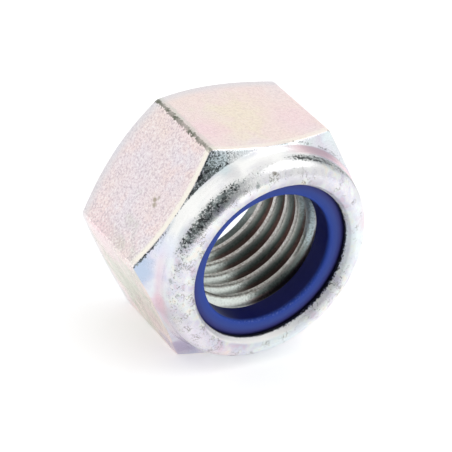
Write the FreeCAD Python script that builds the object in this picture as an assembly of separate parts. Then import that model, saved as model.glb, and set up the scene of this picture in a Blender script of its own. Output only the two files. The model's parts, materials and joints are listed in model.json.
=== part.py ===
"""Lock nut: a steel hexagon nut with a nylon locking ring held under its rolled lip.

Sizes are in millimetres. Each piece is first built upright, with the thread's axis along +Z and the
bearing face at height 0, and is then laid on one of its flats. As laid, +Z points up from the upper
flat, +Y points out of the bearing face, the way a bolt leaves, and the origin is the centre of the
bearing face.
"""

import FreeCAD
import Part

import math
import os

# Internal thread, whose crest, root and depth are shares of the pitch and of the sharp V's height
THREAD_DIAMETER = 20.0
THREAD_PITCH = 2.5
FLANK_ANGLE = 30.0
CREST_SHARE = 1.0 / 4.0
ROOT_SHARE = 1.0 / 8.0
DEPTH_SHARE = 5.0 / 8.0
COUNTERSINK_STEP = 0.7
SEAT_CHAMFER_STEP = 0.1

# Hexagon, whose wall is measured from the thread's root to a flat
NUT_HEIGHT = 20.0
HEXAGON_WALL = 5.0
CORNER_ROUNDING = 0.6
CHAMFER_ANGLE = 30.0
BEARING_FACE_INSET = 0.6
EDGE_BREAK = 0.35

# Collar that is rolled over the ring: insets from a flat, and flares from the collar itself
COLLAR_HEIGHT = 3.95
COLLAR_INSET = 0.75
FOOT_FLARE = 0.7
FOOT_ROUNDING = 0.4
WAIST_FLARE = 0.2
WAIST_SHARE = 0.27
WAIST_ROUNDING = 1.2
SHOULDER_ROUNDING = 2.35
CROWN_ROUNDING = 0.4
LIP_WIDTH = 0.45
LIP_FALL = 0.8
LIP_EDGE_THICKNESS = 0.5

# Locking ring and its seat: steps outwards from the thread's root, or from its crest for the bore
SEAT_STEP = 1.8
LIP_OVERLAP = 0.85
RING_RECESS = 1.45
RING_THICKNESS = 3.35
RING_BORE_STEP = 0.42
RING_EDGE_ROUNDING = 0.15
RING_CLEARANCE = 0.05

# Construction
HEXAGON_SIDES = 6
FULL_TURN = 360.0
QUARTER_TURN = 90.0
CUT_MARGIN = 1.0
GROOVE_OVERLAP = 0.3
ORIGIN = FreeCAD.Vector(0, 0, 0)
THREAD_AXIS = FreeCAD.Vector(0, 0, 1)
LAYING_AXIS = FreeCAD.Vector(1, 0, 0)

chamfer_slope = math.tan(math.radians(CHAMFER_ANGLE))
flank_slope = math.tan(math.radians(FLANK_ANGLE))
thread_depth = DEPTH_SHARE * THREAD_PITCH * math.cos(math.radians(FLANK_ANGLE))
root_radius = THREAD_DIAMETER / 2
crest_radius = root_radius - thread_depth
flat_radius = root_radius + HEXAGON_WALL
corner_radius = flat_radius / math.cos(math.pi / HEXAGON_SIDES)
collar_radius = flat_radius - COLLAR_INSET
foot_radius = collar_radius + FOOT_FLARE
foot_height = NUT_HEIGHT - COLLAR_HEIGHT
front_corner_height = foot_height - (corner_radius - foot_radius) * chamfer_slope
seat_radius = root_radius + SEAT_STEP
lip_radius = seat_radius - LIP_OVERLAP
lip_top = NUT_HEIGHT - LIP_FALL
ring_top = NUT_HEIGHT - RING_RECESS
seat_height = ring_top - RING_THICKNESS
ring_bore_radius = crest_radius + RING_BORE_STEP


def at(radius, height):
    """A point of a turned outline, by its radius and its height above the bearing face."""
    return FreeCAD.Vector(radius, 0, height)


def rounded_outline(corners):
    """A closed outline through corner points, each given with the radius of its rounding."""
    bends = []
    for place, (corner, rounding) in enumerate(corners):
        back = (corners[place - 1][0] - corner).normalize()
        ahead = (corners[(place + 1) % len(corners)][0] - corner).normalize()
        half_angle = back.getAngle(ahead) / 2
        reach = rounding / math.tan(half_angle)
        depth = rounding / math.sin(half_angle) - rounding
        middle = corner + (back + ahead).normalize() * depth
        bends.append((corner + back * reach, middle, corner + ahead * reach))
    edges = []
    for place, (start, middle, end) in enumerate(bends):
        edges.append(Part.LineSegment(bends[place - 1][-1], start).toShape())
        if corners[place][1]:
            edges.append(Part.Arc(start, middle, end).toShape())
    return Part.Wire(edges)


def sharp_outline(points):
    """A closed outline with no rounding."""
    return Part.makePolygon(points + points[:1])


def turned(outline, angle=FULL_TURN):
    """The solid that a closed outline sweeps round the thread's axis."""
    return Part.Face(outline).revolve(ORIGIN, THREAD_AXIS, angle)


def laid(shape):
    """The shape laid on its flat, with the bearing face towards +Y."""
    return shape.rotated(ORIGIN, LAYING_AXIS, QUARTER_TURN)


def hexagon_bar():
    """The six flats with their rounded corners, a corner on the X axis."""
    corners = []
    for side in range(HEXAGON_SIDES):
        angle = math.radians(side * FULL_TURN / HEXAGON_SIDES)
        corners.append(FreeCAD.Vector(corner_radius * math.cos(angle), corner_radius * math.sin(angle), 0))
    bar = Part.Face(sharp_outline(corners)).extrude(THREAD_AXIS * NUT_HEIGHT)
    uprights = [edge for edge in bar.Edges if edge.BoundBox.ZLength > NUT_HEIGHT / 2]
    return bar.makeFillet(CORNER_ROUNDING, uprights)


def turned_blank():
    """The chamfered ends, the collar and its rolled shoulder, before the bore."""
    outer_radius = corner_radius + CUT_MARGIN
    bearing_radius = flat_radius - BEARING_FACE_INSET
    rise = (outer_radius - bearing_radius) * chamfer_slope
    front_height = front_corner_height - CUT_MARGIN * chamfer_slope
    waist_height = foot_height + COLLAR_HEIGHT * WAIST_SHARE
    return turned(rounded_outline([
        (at(0, lip_top), 0),
        (at(0, 0), 0),
        (at(bearing_radius, 0), 0),
        (at(outer_radius, rise), 0),
        (at(outer_radius, front_height), 0),
        (at(foot_radius, foot_height), FOOT_ROUNDING),
        (at(collar_radius + WAIST_FLARE, waist_height), WAIST_ROUNDING),
        (at(collar_radius, NUT_HEIGHT), SHOULDER_ROUNDING),
        (at(lip_radius + LIP_WIDTH, NUT_HEIGHT), CROWN_ROUNDING),
        (at(lip_radius, lip_top), 0),
    ]))


def is_side(face):
    """Whether a face of the blank is a flat or a rounded corner: only those are so tall."""
    return face.BoundBox.ZLength > NUT_HEIGHT / 2


def blank_with_broken_edges():
    """The blank, with the edges broken where its sides meet the two ends."""
    blank = hexagon_bar().common(turned_blank())
    sides = [face for face in blank.Faces if is_side(face)]
    end_edges = []
    for edge in blank.Edges:
        neighbours = [side for side in sides if any(edge.isSame(rim) for rim in side.Edges)]
        if len(neighbours) == 1:
            end_edges.append(edge)
    return blank.makeFillet(EDGE_BREAK, end_edges)


def bore_quarter():
    """A quarter turn of the hollow: countersink, bore, chamfered ring seat and the lip's underside."""
    mouth_radius = root_radius + COUNTERSINK_STEP
    chamfer_radius = root_radius + SEAT_CHAMFER_STEP
    return turned(sharp_outline([
        at(0, -CUT_MARGIN),
        at(mouth_radius + CUT_MARGIN, -CUT_MARGIN),
        at(crest_radius, mouth_radius - crest_radius),
        at(crest_radius, seat_height - (chamfer_radius - crest_radius)),
        at(chamfer_radius, seat_height),
        at(seat_radius, seat_height),
        at(seat_radius, ring_top),
        at(lip_radius, lip_top - LIP_EDGE_THICKNESS),
        at(lip_radius, NUT_HEIGHT + CUT_MARGIN),
        at(0, NUT_HEIGHT + CUT_MARGIN),
    ]), QUARTER_TURN)


def groove_turn():
    """One turn of the right-hand thread groove, starting on the X axis at height 0."""
    half_root = THREAD_PITCH * ROOT_SHARE / 2
    half_mouth = THREAD_PITCH * (1 - CREST_SHARE) / 2 + GROOVE_OVERLAP * flank_slope
    helix = Part.makeHelix(THREAD_PITCH, THREAD_PITCH, root_radius)
    sweep = Part.BRepOffsetAPI.MakePipeShell(Part.Wire(helix.Edges))
    sweep.setBiNormalMode(THREAD_AXIS)
    sweep.add(sharp_outline([
        at(crest_radius - GROOVE_OVERLAP, -half_mouth),
        at(root_radius, -half_root),
        at(root_radius, half_root),
        at(crest_radius - GROOVE_OVERLAP, half_mouth),
    ]))
    sweep.build()
    sweep.makeSolid()
    return sweep.shape()


def steel_body():
    """The forged nut: hexagon, collar and lip in one piece, bored and then tapped."""
    body = blank_with_broken_edges()
    quarter = bore_quarter()
    for count in range(round(FULL_TURN / QUARTER_TURN)):
        body = body.cut(quarter.rotated(ORIGIN, THREAD_AXIS, count * QUARTER_TURN))
    groove = groove_turn()
    last_turn = math.ceil(seat_height / THREAD_PITCH)
    turns = [groove.translated(THREAD_AXIS * THREAD_PITCH * count) for count in range(-1, last_turn + 1)]
    return body.cut(turns)


def nylon_ring():
    """The locking ring, moulded with a bore a little wider than the thread's crests."""
    ring_radius = seat_radius - RING_CLEARANCE
    return turned(rounded_outline([
        (at(ring_bore_radius, seat_height), 0),
        (at(ring_bore_radius, ring_top), RING_EDGE_ROUNDING),
        (at(ring_radius, ring_top), 0),
        (at(ring_radius, seat_height), 0),
    ]))


os.makedirs("parts", exist_ok=True)
for name, shape in (("steel_body", steel_body()), ("nylon_ring", nylon_ring())):
    solid = laid(shape).Solids[0]
    solid.exportStep(f"parts/{name}.step")
    print(name, "is valid:", solid.isValid(), "volume in cubic millimetres:", round(solid.Volume, 1))
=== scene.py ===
"""Lock nut: a zinc-plated hexagon nut with a blue nylon ring under its rolled lip, in a pale studio.

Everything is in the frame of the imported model. Both pieces are first modelled upright, with the thread's
axis along +Z and the bearing face at height 0, and their meshes are then laid on a flat. Named lengths
are in millimetres, except those with a factor MM, which are in metres. Angles round the axis are in
degrees, from 0 at +X to 90 at +Z, the upper flat.
"""

import json
import logging
import math
from collections.abc import Callable, Sequence
from dataclasses import dataclass, field
from enum import Enum

import bmesh
import bpy
from mathutils import Matrix, Vector, noise

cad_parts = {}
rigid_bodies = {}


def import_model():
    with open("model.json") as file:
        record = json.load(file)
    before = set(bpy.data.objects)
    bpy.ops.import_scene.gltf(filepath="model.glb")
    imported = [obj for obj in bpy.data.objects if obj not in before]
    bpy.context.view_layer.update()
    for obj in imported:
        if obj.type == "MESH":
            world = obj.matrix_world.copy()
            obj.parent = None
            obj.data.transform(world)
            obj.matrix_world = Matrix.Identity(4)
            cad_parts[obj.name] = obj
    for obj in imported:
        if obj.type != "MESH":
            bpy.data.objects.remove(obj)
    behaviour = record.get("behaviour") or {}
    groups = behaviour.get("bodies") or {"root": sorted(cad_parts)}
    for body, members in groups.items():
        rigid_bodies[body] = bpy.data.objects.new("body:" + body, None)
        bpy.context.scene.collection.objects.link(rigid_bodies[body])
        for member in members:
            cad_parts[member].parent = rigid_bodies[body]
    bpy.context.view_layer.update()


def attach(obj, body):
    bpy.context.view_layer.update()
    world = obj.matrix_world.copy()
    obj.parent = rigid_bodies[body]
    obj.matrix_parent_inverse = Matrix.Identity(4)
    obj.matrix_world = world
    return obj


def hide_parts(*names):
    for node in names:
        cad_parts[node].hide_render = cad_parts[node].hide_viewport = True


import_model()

log = logging.getLogger("lock_nut")

MM = 0.001
SIDES = 6
FULL_TURN = 2 * math.pi
LAY_ON_FLAT = Matrix.Rotation(math.pi / 2, 3, "X")
MERGE_DISTANCE = 0.001 * MM
SHARP_ANGLE = math.radians(38)

# Places of the Mix node's factor, of the colours below and above, and of the mixed colour
MIX_FACTOR, MIX_BELOW, MIX_ABOVE, MIX_COLOUR = 0, 6, 7, 2

# The two chamfers lie on cones, whose points are so far above and below the bearing face
CHAMFER_ANGLE = math.radians(30)
FRONT_CONE_HEIGHT = 24.681
BEARING_CONE_DEPTH = 8.314

# Radii of the thread and of its countersink's mouth
THREAD_CREST = 8.647
THREAD_ROOT = 10.0
MOUTH_RADIUS = 10.7

Tree = bpy.types.NodeTree
Socket = bpy.types.NodeSocket
Input = float | tuple | Socket
Stops = tuple[tuple[float, str], ...]
Place = Callable[[float], tuple[float, float]]

# A fade turns what it reads into a share: between its first two values, from its third to its fourth.
# A share is given as it is, or as what its fade reads with the four values of the fade.
Fade = tuple[float, float, float, float]
Share = float | Socket | tuple[Socket, float, float, float, float]


class PlateTint(str, Enum):
    """The plate's colours, as sRGB hex values: the tints that a pale iridescent passivation shows on bright
    zinc, soil and ash, and the colours of painted highlights and painted shade.
    """

    ROSE = "F3DFDD"
    PINK = "F5D8DE"
    BLUSH = "E0B6C1"
    PEACH = "F4E2D9"
    CREAM = "F2E7D0"
    LILAC = "E6E0E9"
    ICE = "CFD7E9"
    AQUA = "E6F0F2"
    SKY = "B9C8DE"
    MOSS = "C8CBB8"
    SILVER = "DFE1E7"
    WHITE = "FCFCFA"
    FROST = "DCE5E6"
    PALE_TEAL = "D8EAEE"
    IVORY = "FBF7EA"
    VIOLET = "BBAEC6"
    SAND = "A39A84"
    GREY_GREEN = "6C6F62"
    PALE_GREEN = "CBCFC4"
    SOIL = "6E6759"
    ASH = "8D9796"
    CHARCOAL = "23282A"
    PEWTER = "C4C2C7"
    # Painted shade in the crevice under the lip
    CREVICE_SHADE = "1D1D1F"


class Side(float, Enum):
    """Directions square to the axis, as angles."""

    UPPER_FLAT = 90.0
    UPPER_LEFT_CORNER = 120.0
    UPPER_LEFT_FLAT = 150.0
    LOWER_LEFT_FLAT = 210.0


class SteelSlot(Enum):
    """Which finish a face of the steel body takes, by its place in the body's list of materials."""

    PLATE = 0
    THREAD = 1


def linear_colour(hex_code: str) -> tuple[float, float, float, float]:
    """Turns an sRGB hex value into the linear colour that a shader works with.

    Args:
        hex_code: six hex digits, red first.

    Returns:
        Linear red, green and blue with full opacity.
    """
    channels = [int(hex_code[place:place + 2], 16) / 255 for place in (0, 2, 4)]
    linear = [c / 12.92 if c <= 0.04045 else ((c + 0.055) / 1.055) ** 2.4 for c in channels]
    return (*linear, 1.0)


def outward(angle: float) -> tuple[float, float, float]:
    """The unit direction square to the axis at an angle."""
    return math.cos(math.radians(angle)), 0.0, math.sin(math.radians(angle))


def add_node(
    tree: Tree,
    kind: str,
    inputs: Sequence[Input] | dict[str | int, Input] = (),
    output: str | int = 0,
    stops: Stops = (),
    **settings: object,
) -> Socket | None:
    """Adds one node with its settings, its constants and the links that run into it.

    Args:
        tree: the node tree that gets the node.
        kind: the node's type, without the word ShaderNode.
        inputs: a number, colour or other node's socket for each input, in order, or by name or place.
        output: the output that is wanted, by name or place.
        stops: position and hex value of each stop, for a colour ramp.
        settings: the node's own options, such as its operation.

    Returns:
        The wanted output, or None from a node that has none.
    """
    node = tree.nodes.new("ShaderNode" + kind)
    for name, value in settings.items():
        setattr(node, name, value)
    for key, value in inputs.items() if isinstance(inputs, dict) else enumerate(inputs):
        if isinstance(value, Socket):
            tree.links.new(value, node.inputs[key])
        else:
            node.inputs[key].default_value = value
    for place, (position, hex_code) in enumerate(stops):
        ramp = node.color_ramp.elements
        stop = ramp[place] if place < len(ramp) else ramp.new(position)
        stop.position = position
        stop.color = linear_colour(hex_code)
    return node.outputs[output] if node.outputs else None


def new_tree(name: str) -> tuple[bpy.types.Material, Tree]:
    """Makes a node material with nothing in it.

    Args:
        name: what the finish is called.

    Returns:
        The material and its empty node tree.
    """
    material = bpy.data.materials.new(name)
    material.use_nodes = True
    material.node_tree.nodes.clear()
    return material, material.node_tree


def where_all(tree: Tree, *shares: Share) -> Socket:
    """Finds where several shares hold together.

    Args:
        tree: the material's node tree.
        shares: the shares.

    Returns:
        Their product.
    """
    together, *others = (
        add_node(tree, "MapRange", share) if isinstance(share, tuple) else share for share in shares
    )
    for share in others:
        together = add_node(tree, "Math", (together, share), operation="MULTIPLY")
    return together


def laid_over(tree: Tree, colour: Socket, tint: str | Socket, *shares: Share) -> Socket:
    """Lays a tint over the colour so far, where several shares hold together.

    Args:
        tree: the material's node tree.
        colour: the colour so far.
        tint: what is laid over it, a hex value or another colour of the tree.
        shares: how much of the tint shows.

    Returns:
        The colour with the tint.
    """
    top = linear_colour(tint) if isinstance(tint, str) else tint
    share = where_all(tree, *shares)
    inputs = {MIX_FACTOR: share, MIX_BELOW: colour, MIX_ABOVE: top}
    return add_node(tree, "Mix", inputs, MIX_COLOUR, data_type="RGBA")


def reach_along(tree: Tree, place: Socket, angle: float, fade: Fade) -> Socket:
    """Grades the nut from one side to another by how far a point reaches that way.

    Args:
        tree: the material's node tree.
        place: the point.
        angle: the direction square to the axis.
        fade: how the share changes with the reach in metres.

    Returns:
        The share.
    """
    reach = add_node(tree, "VectorMath", (place, outward(angle)), "Value", operation="DOT_PRODUCT")
    return add_node(tree, "MapRange", (reach, *fade))


def from_axis(tree: Tree, place: Socket) -> Socket:
    """Measures how far a point is from the thread's axis.

    Args:
        tree: the material's node tree.
        place: the point.

    Returns:
        The distance.
    """
    flat = add_node(tree, "VectorMath", (place, (1, 0, 1)), operation="MULTIPLY")
    return add_node(tree, "VectorMath", (flat,), "Value", operation="LENGTH")


@dataclass(frozen=True)
class PlateGround:
    """What the plate's patterns read: the node tree, where a point of the nut is, and its two reliefs.

    The point's place comes with its distance from the axis, its height above the bearing face, and how
    far along the axis it is outside the front chamfers' cone and outside the bearing chamfers'. Its turn
    is its height less its radius, which grows steadily from the collar's foot over the shoulder to the
    lip. All are in metres. The grain is the flats' orange peel, and the crumble is the coarser skin of
    turned places.
    """

    tree: Tree
    place: Socket
    radius: Socket
    height: Socket
    front: Socket
    back: Socket
    turn: Socket
    grain: Socket
    crumble: Socket

    @classmethod
    def read(cls, tree: Tree, grain_size: float, crumble_size: float) -> "PlateGround":
        """Works the places out from the point's Object coordinates, and draws the reliefs.

        Args:
            tree: the material's node tree.
            grain_size: size of the orange peel's bumps.
            crumble_size: size of the coarser skin's bumps.

        Returns:
            The ground.
        """
        place = add_node(tree, "TexCoord", (), "Object")
        radius = from_axis(tree, place)
        along = add_node(tree, "SeparateXYZ", (place,), "Y")
        height = add_node(tree, "Math", (along, -1.0), operation="MULTIPLY")
        fall = add_node(tree, "Math", (radius, math.tan(CHAMFER_ANGLE)), operation="MULTIPLY")
        raised = add_node(tree, "Math", (fall, height), operation="ADD")
        lowered = add_node(tree, "Math", (fall, height), operation="SUBTRACT")
        return cls(
            tree, place, radius, height,
            front=add_node(tree, "Math", (raised, FRONT_CONE_HEIGHT * MM), operation="SUBTRACT"),
            back=add_node(tree, "Math", (lowered, BEARING_CONE_DEPTH * MM), operation="SUBTRACT"),
            turn=add_node(tree, "Math", (height, radius), operation="SUBTRACT"),
            grain=add_node(tree, "TexNoise", {
                "Vector": place, "Scale": 1 / grain_size, "Detail": 2.0, "Roughness": 0.6,
            }),
            crumble=add_node(tree, "TexNoise", {
                "Vector": place, "Scale": 1 / crumble_size, "Detail": 3.0, "Roughness": 0.65,
            }),
        )


@dataclass(frozen=True)
class Patch:
    """A frayed patch of one tint: its middle in the nut's frame, its radius and its strength."""

    middle: tuple[float, float, float]
    size: float
    tint: PlateTint
    strength: float


@dataclass(frozen=True)
class CollarArc:
    """An arc round the collar on which the plate looks different. White arcs are painted highlights, blush
    arcs are tints, and dark arcs are burn marks where the tool rolled it, with painted dark reflection.

    Its middle is a direction. It fades in between two reaches along it. Its four turns, heights less
    radii, are where it starts, is full from, is full to and ends.
    """

    middle: float
    reach: tuple[float, float]
    turns: tuple[float, float, float, float]
    strength: float


@dataclass(frozen=True)
class ZincPlate:
    """Electroplated zinc with a thin passivation, on steel that was forged, turned and rolled.

    The plate mirrors the room in soft focus. The passivation is thinner than a wavelength, so it tints
    the mirror rose, peach, cream or ice in drifting patches. The forged skin below gives the flats an
    orange-peel grain. Turning and rolling leave the chamfers and the shoulder coarser, burned and pitted.
    Some light and shade is painted into the colour: white and grey patches and arcs on the collar, an
    ivory highlight on the flats' front rims, shade and highlights in the grain, dark reflection over the
    burn marks, a glint inside the lip and shade in the crevice under it.
    """

    name: str = "zinc_plate_passivated"
    roughness: float = 0.24
    grain_size: float = 0.31 * MM
    grain_height: float = 0.018 * MM
    crumble_size: float = 0.26 * MM
    crumble_height: float = 0.060 * MM

    # Sizes of the drifting tints, of the patches' fraying, and of the collar's mottle
    drift_size: float = 5 * MM
    fray_size: float = 2.5 * MM
    mottle_size: float = 1.3 * MM

    # Drifting tints of the flats, of the collar's side and of its rolled top, which starts at a turn
    flat_drift: Stops = ((0.36, "EDE2E6"), (0.50, PlateTint.ROSE), (0.64, "F3E1DB"))
    collar_drift: Stops = (
        (0.36, PlateTint.ICE), (0.46, "DCD7E3"), (0.56, PlateTint.SILVER), (0.68, PlateTint.FROST),
    )
    rolled_mottle: Stops = (
        (0.34, "DACFDB"), (0.43, "D8D9E4"), (0.51, "E2DEE3"), (0.59, "E2E8E7"), (0.67, "E9E5DE"),
    )
    rolled_start: Fade = (3.4 * MM, 4.6 * MM, 0.0, 1.0)
    collar_start: Fade = (-0.10 * MM, -0.02 * MM, 0.0, 1.0)

    # The flats' end, the share of grain that each flat shows, and where the grain is darkened in each
    # hollow and lightened on each peak, as painted shade and a painted highlight
    flat_end: Fade = (-0.12 * MM, -0.04 * MM, 1.0, 0.0)
    grainy_flat: Fade = (14.0 * MM, 14.9 * MM, 0.35, 1.0)
    shaded_hollows: Fade = (0.34, 0.50, 0.60, 0.0)
    hollow_shade_tint: str = "C0B3BC"
    lit_peaks: Fade = (0.54, 0.66, 0.0, 0.5)

    # Painted ivory highlight along the flats' front rims, bold on the grainy flat and faint on the one
    # below it
    ivory_highlight_rim: Fade = (-1.0 * MM, -0.45 * MM, 0.0, 0.88)
    bold_rim: Fade = (0.35, 1.0, 0.6, 1.0)
    faint_rim: Fade = (14.0 * MM, 14.9 * MM, 1.0, 0.25)
    bearing_rim: Fade = (-2.0 * MM, -0.3 * MM, 0.0, 0.6)
    bearing_rim_tint: str = "D9DDE3"

    # Scuffed corner: where it starts, how deep the grain tears it, how it breaks off, and its two bands,
    # each with its two sides, its strength and its tint
    scuff_start: float = 16.4 * MM
    scuff_tear: float = 1.2 * MM
    scuff_break_size: float = 1.3 * MM
    scuff_break: Fade = (0.40, 0.60, 0.55, 1.0)
    scuff_fade: float = 0.12
    scuff_bands: tuple[tuple[float, float, float, PlateTint], ...] = (
        (-0.10, 0.62, 0.65, PlateTint.PALE_GREEN),
        (0.42, 0.86, 0.95, PlateTint.GREY_GREEN),
    )

    # Specks of soil: curled lines of a noise, which crowd together on one side and on the lip
    curl_size: float = 0.6 * MM
    curl_middle: float = 0.5
    curl_line: Fade = (0.015, 0.045, 1.0, 0.0)
    crowd_size: float = 1.5 * MM
    crowd_side: float = -135.0
    crowd_rise: float = 0.0035 / MM
    crowd: Fade = (0.52, 0.64, 0.0, 1.0)
    speck_turns: Fade = (3.6 * MM, 6.0 * MM, 0.04, 0.65)

    # The front chamfers, whose surface is so near their cone, and the corner of one of them, with burn
    # marks and painted dark reflection
    chamfer_skin: Fade = (0.03 * MM, 0.10 * MM, 1.0, 0.0)
    burn_and_dark_reflection_corner: tuple[float, float, float] = (-10.4 * MM, -15.6 * MM, 11.4 * MM)
    burn_and_dark_reflection_corner_fade: Fade = (2.0 * MM, 7.2 * MM, 0.81, 0.0)

    # The chamfers' upper rims, with burn marks and painted dark reflection: flat, reach where each starts
    # and is full, strength, share left in the rim's middle; and the distance from that middle over which it
    # grows
    burn_and_dark_reflection_rims: tuple[tuple[Side, float, float, float, float], ...] = (
        (Side.UPPER_LEFT_FLAT, 14.5, 14.8, 0.85, 0.25),
        (Side.UPPER_FLAT, 14.55, 14.9, 0.38, 1.0),
    )
    rim_middle: tuple[float, float] = (2.0 * MM, 5.0 * MM)

    # Darkening of the burn marks, partly painted dark reflection: its haze off the chamfers, and the grains
    # that it blackens, in blotches
    soot_and_reflection_haze: Fade = (0.0, 1.0, 0.5, 0.0)
    soot_grains: Fade = (0.32, 0.68, 0.0, 1.0)
    soot_gain: float = 1.04
    soot_edge: Fade = (0.0, 0.22, 0.0, 0.95)
    blotch_size: float = 0.8 * MM
    blotches: Stops = ((0.42, PlateTint.CHARCOAL), (0.60, PlateTint.ASH))

    # Painted shade in the crevice under the lip: its side whose edge is torn most, its top, outside and
    # bottom
    tear_side: float = -15.0
    tear: Fade = (4.0 * MM, 9.0 * MM, 0.5 * MM, 1.6 * MM)
    crevice_top: Fade = (19.12 * MM, 19.30 * MM, 0.95, 0.0)
    crevice_radius: float = 11.9 * MM
    crevice_bottom: float = 15.0 * MM

    # Glint on the cone that falls from the lip into the crevice, brightest at its lowest side
    glint_side: float = -95.0
    glint: Fade = (7.5 * MM, 10.5 * MM, 0.1, 0.9)
    glint_radius: Fade = (11.30 * MM, 11.60 * MM, 1.0, 0.0)
    glint_bottom: float = 18.9 * MM
    glint_tint: str = "FFFEFA"

    # Softness of the mirror, which drifts and is duller round the lip
    focus_size: float = 2 * MM
    focus_drift: Fade = (0.3, 0.7, -0.04, 0.05)
    dull_lip: Fade = (7.4 * MM, 8.2 * MM, 0.0, 0.40)

    flat_patches: tuple[Patch, ...] = (
        Patch((-13.0, -8.0, 7.5), 16.0, PlateTint.LILAC, 0.45),
        Patch((0.0, -8.0, 15.0), 16.0, PlateTint.PEACH, 0.6),
        Patch((-0.5, -8.0, 15.0), 7.0, PlateTint.CREAM, 0.75),
        Patch((-3.2, -11.6, 15.0), 4.5, PlateTint.CREAM, 0.5),
        Patch((-6.6, -10.4, 15.0), 4.5, PlateTint.PINK, 0.7),
        Patch((5.5, -10.8, 15.0), 5.0, PlateTint.PINK, 0.6),
        # Partly a pale green tint of the plate, partly painted shade that darkens the lower-left flat
        Patch((-12.9, -8.0, -7.4), 13.5, PlateTint.MOSS, 1.0),
        Patch((-16.2, -6.0, -1.7), 6.0, PlateTint.PINK, 0.75),
        Patch((-10.0, -11.5, 12.0), 3.0, PlateTint.LILAC, 0.5),
        Patch((-11.0, -12.0, -10.5), 5.0, PlateTint.BLUSH, 0.45),
        # Painted shade: a violet patch that darkens the flats' lower corner
        Patch((-9.4, -14.0, -13.0), 3.5, PlateTint.VIOLET, 0.8),
    )
    # Painted highlights: white arcs round the shoulder
    painted_highlight_arcs: tuple[CollarArc, ...] = (
        CollarArc(143, (13.0, 14.2), (1.2, 1.8, 2.8, 3.4), 0.95),
        CollarArc(103, (13.6, 14.3), (1.6, 2.1, 3.0, 3.6), 0.9),
    )
    collar_patches: tuple[Patch, ...] = (
        # Painted highlights: white patches on the shoulder, the waist and the crown
        Patch((-11.2, -17.1, 9.1), 4.9, PlateTint.WHITE, 1.0),
        Patch((-6.0, -17.4, 13.4), 5.6, PlateTint.WHITE, 1.0),
        Patch((-1.5, -17.4, 14.6), 5.2, PlateTint.WHITE, 1.0),
        Patch((3.5, -18.2, 14.0), 4.0, PlateTint.WHITE, 1.0),
        # Painted dark reflections: grey patches on the crown
        Patch((0.5, -19.9, 12.5), 3.4, PlateTint.PEWTER, 0.4),
        Patch((-6.8, -17.0, 12.8), 2.0, PlateTint.PEWTER, 0.55),
        Patch((-3.2, -18.6, 13.8), 2.6, PlateTint.PEWTER, 0.3),
        Patch((4.2, -19.8, 12.2), 3.2, PlateTint.PEWTER, 0.45),
        Patch((-13.9, -16.5, -4.8), 2.4, PlateTint.BLUSH, 0.5),
        Patch((-14.7, -16.3, 3.4), 3.4, PlateTint.ICE, 0.65),
        Patch((-8.0, -15.2, 13.7), 3.4, PlateTint.PALE_TEAL, 0.9),
        # Painted shade: a grey patch on the lower-left shoulder
        Patch((-12.8, -18.9, -5.8), 3.6, PlateTint.PEWTER, 0.45),
        Patch((12.5, -19.6, 2.0), 8.0, PlateTint.AQUA, 0.8),
        Patch((3.5, -19.8, -12.2), 7.0, PlateTint.AQUA, 0.7),
        # Painted highlight: a faint white patch on the lip's lower right
        Patch((10.0, -19.6, -8.5), 4.5, PlateTint.WHITE, 0.25),
        Patch((-5.2, -19.6, -12.6), 3.0, PlateTint.PINK, 0.4),
        Patch((-10.2, -19.6, -9.2), 4.2, PlateTint.LILAC, 0.8),
        Patch((13.6, -18.8, 4.2), 3.4, PlateTint.BLUSH, 0.45),
        # Painted dark reflection: a grey patch on the right shoulder
        Patch((12.0, -18.6, 8.4), 2.8, PlateTint.PEWTER, 0.6),
        Patch((-4.5, -15.4, 15.2), 3.0, PlateTint.AQUA, 0.8),
        Patch((-16.4, -15.2, -0.3), 4.0, PlateTint.SKY, 0.95),
        Patch((9.0, -15.0, 15.0), 3.4, PlateTint.AQUA, 1.0),
        # Painted shade: a violet patch at the collar's lower corner
        Patch((-8.9, -15.7, -13.2), 3.6, PlateTint.VIOLET, 0.8),
    )
    blush_arcs: tuple[CollarArc, ...] = (
        CollarArc(57, (12.4, 13.9), (1.1, 1.5, 2.7, 3.3), 0.66),
        CollarArc(195, (12.4, 14.2), (1.0, 1.9, 2.4, 3.8), 0.34),
    )
    # Burn marks round the collar, darkened further by painted dark reflection
    burn_and_dark_reflection_arcs: tuple[CollarArc, ...] = (
        CollarArc(141, (12.1, 13.5), (3.5, 4.7, 5.7, 6.9), 0.80),
        CollarArc(112, (13.0, 13.9), (3.8, 4.6, 5.0, 6.0), 0.30),
        CollarArc(60, (12.0, 13.2), (3.0, 3.7, 4.3, 5.2), 0.72),
        CollarArc(66, (13.6, 14.5), (0.4, 0.7, 1.0, 1.3), 0.36),
        CollarArc(184, (11.5, 13.6), (3.6, 4.6, 6.2, 7.4), 0.24),
        CollarArc(165, (12.6, 13.6), (4.3, 5.1, 6.2, 7.0), 0.38),
        CollarArc(98, (11.5, 12.8), (5.4, 6.2, 7.2, 8.0), 0.2),
        CollarArc(-35, (9.0, 11.3), (7.6, 8.2, 8.4, 9.0), 0.3),
    )
    nicks: tuple[Patch, ...] = (
        Patch((-13.3, -11.5, 7.0), 0.55, PlateTint.SAND, 0.8),
        Patch((-13.5, -11.9, 6.5), 0.55, PlateTint.SAND, 0.7),
        Patch((-13.1, -11.9, 7.4), 0.5, PlateTint.SAND, 0.6),
        Patch((-2.0, -19.5, 13.3), 0.55, PlateTint.SOIL, 0.9),
        Patch((-4.5, -19.8, 12.1), 0.5, PlateTint.ASH, 0.8),
        Patch((-13.9, -18.6, -0.2), 0.6, PlateTint.ASH, 0.9),
        Patch((-13.4, -19.5, -2.0), 0.4, PlateTint.ASH, 0.9),
    )

    # A patch's edge, as shares of its size: how far the noise frays it, and where it is full and gone
    patch_fray: float = 1.6
    patch_edge: tuple[float, float] = (0.9, 1.7)

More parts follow.
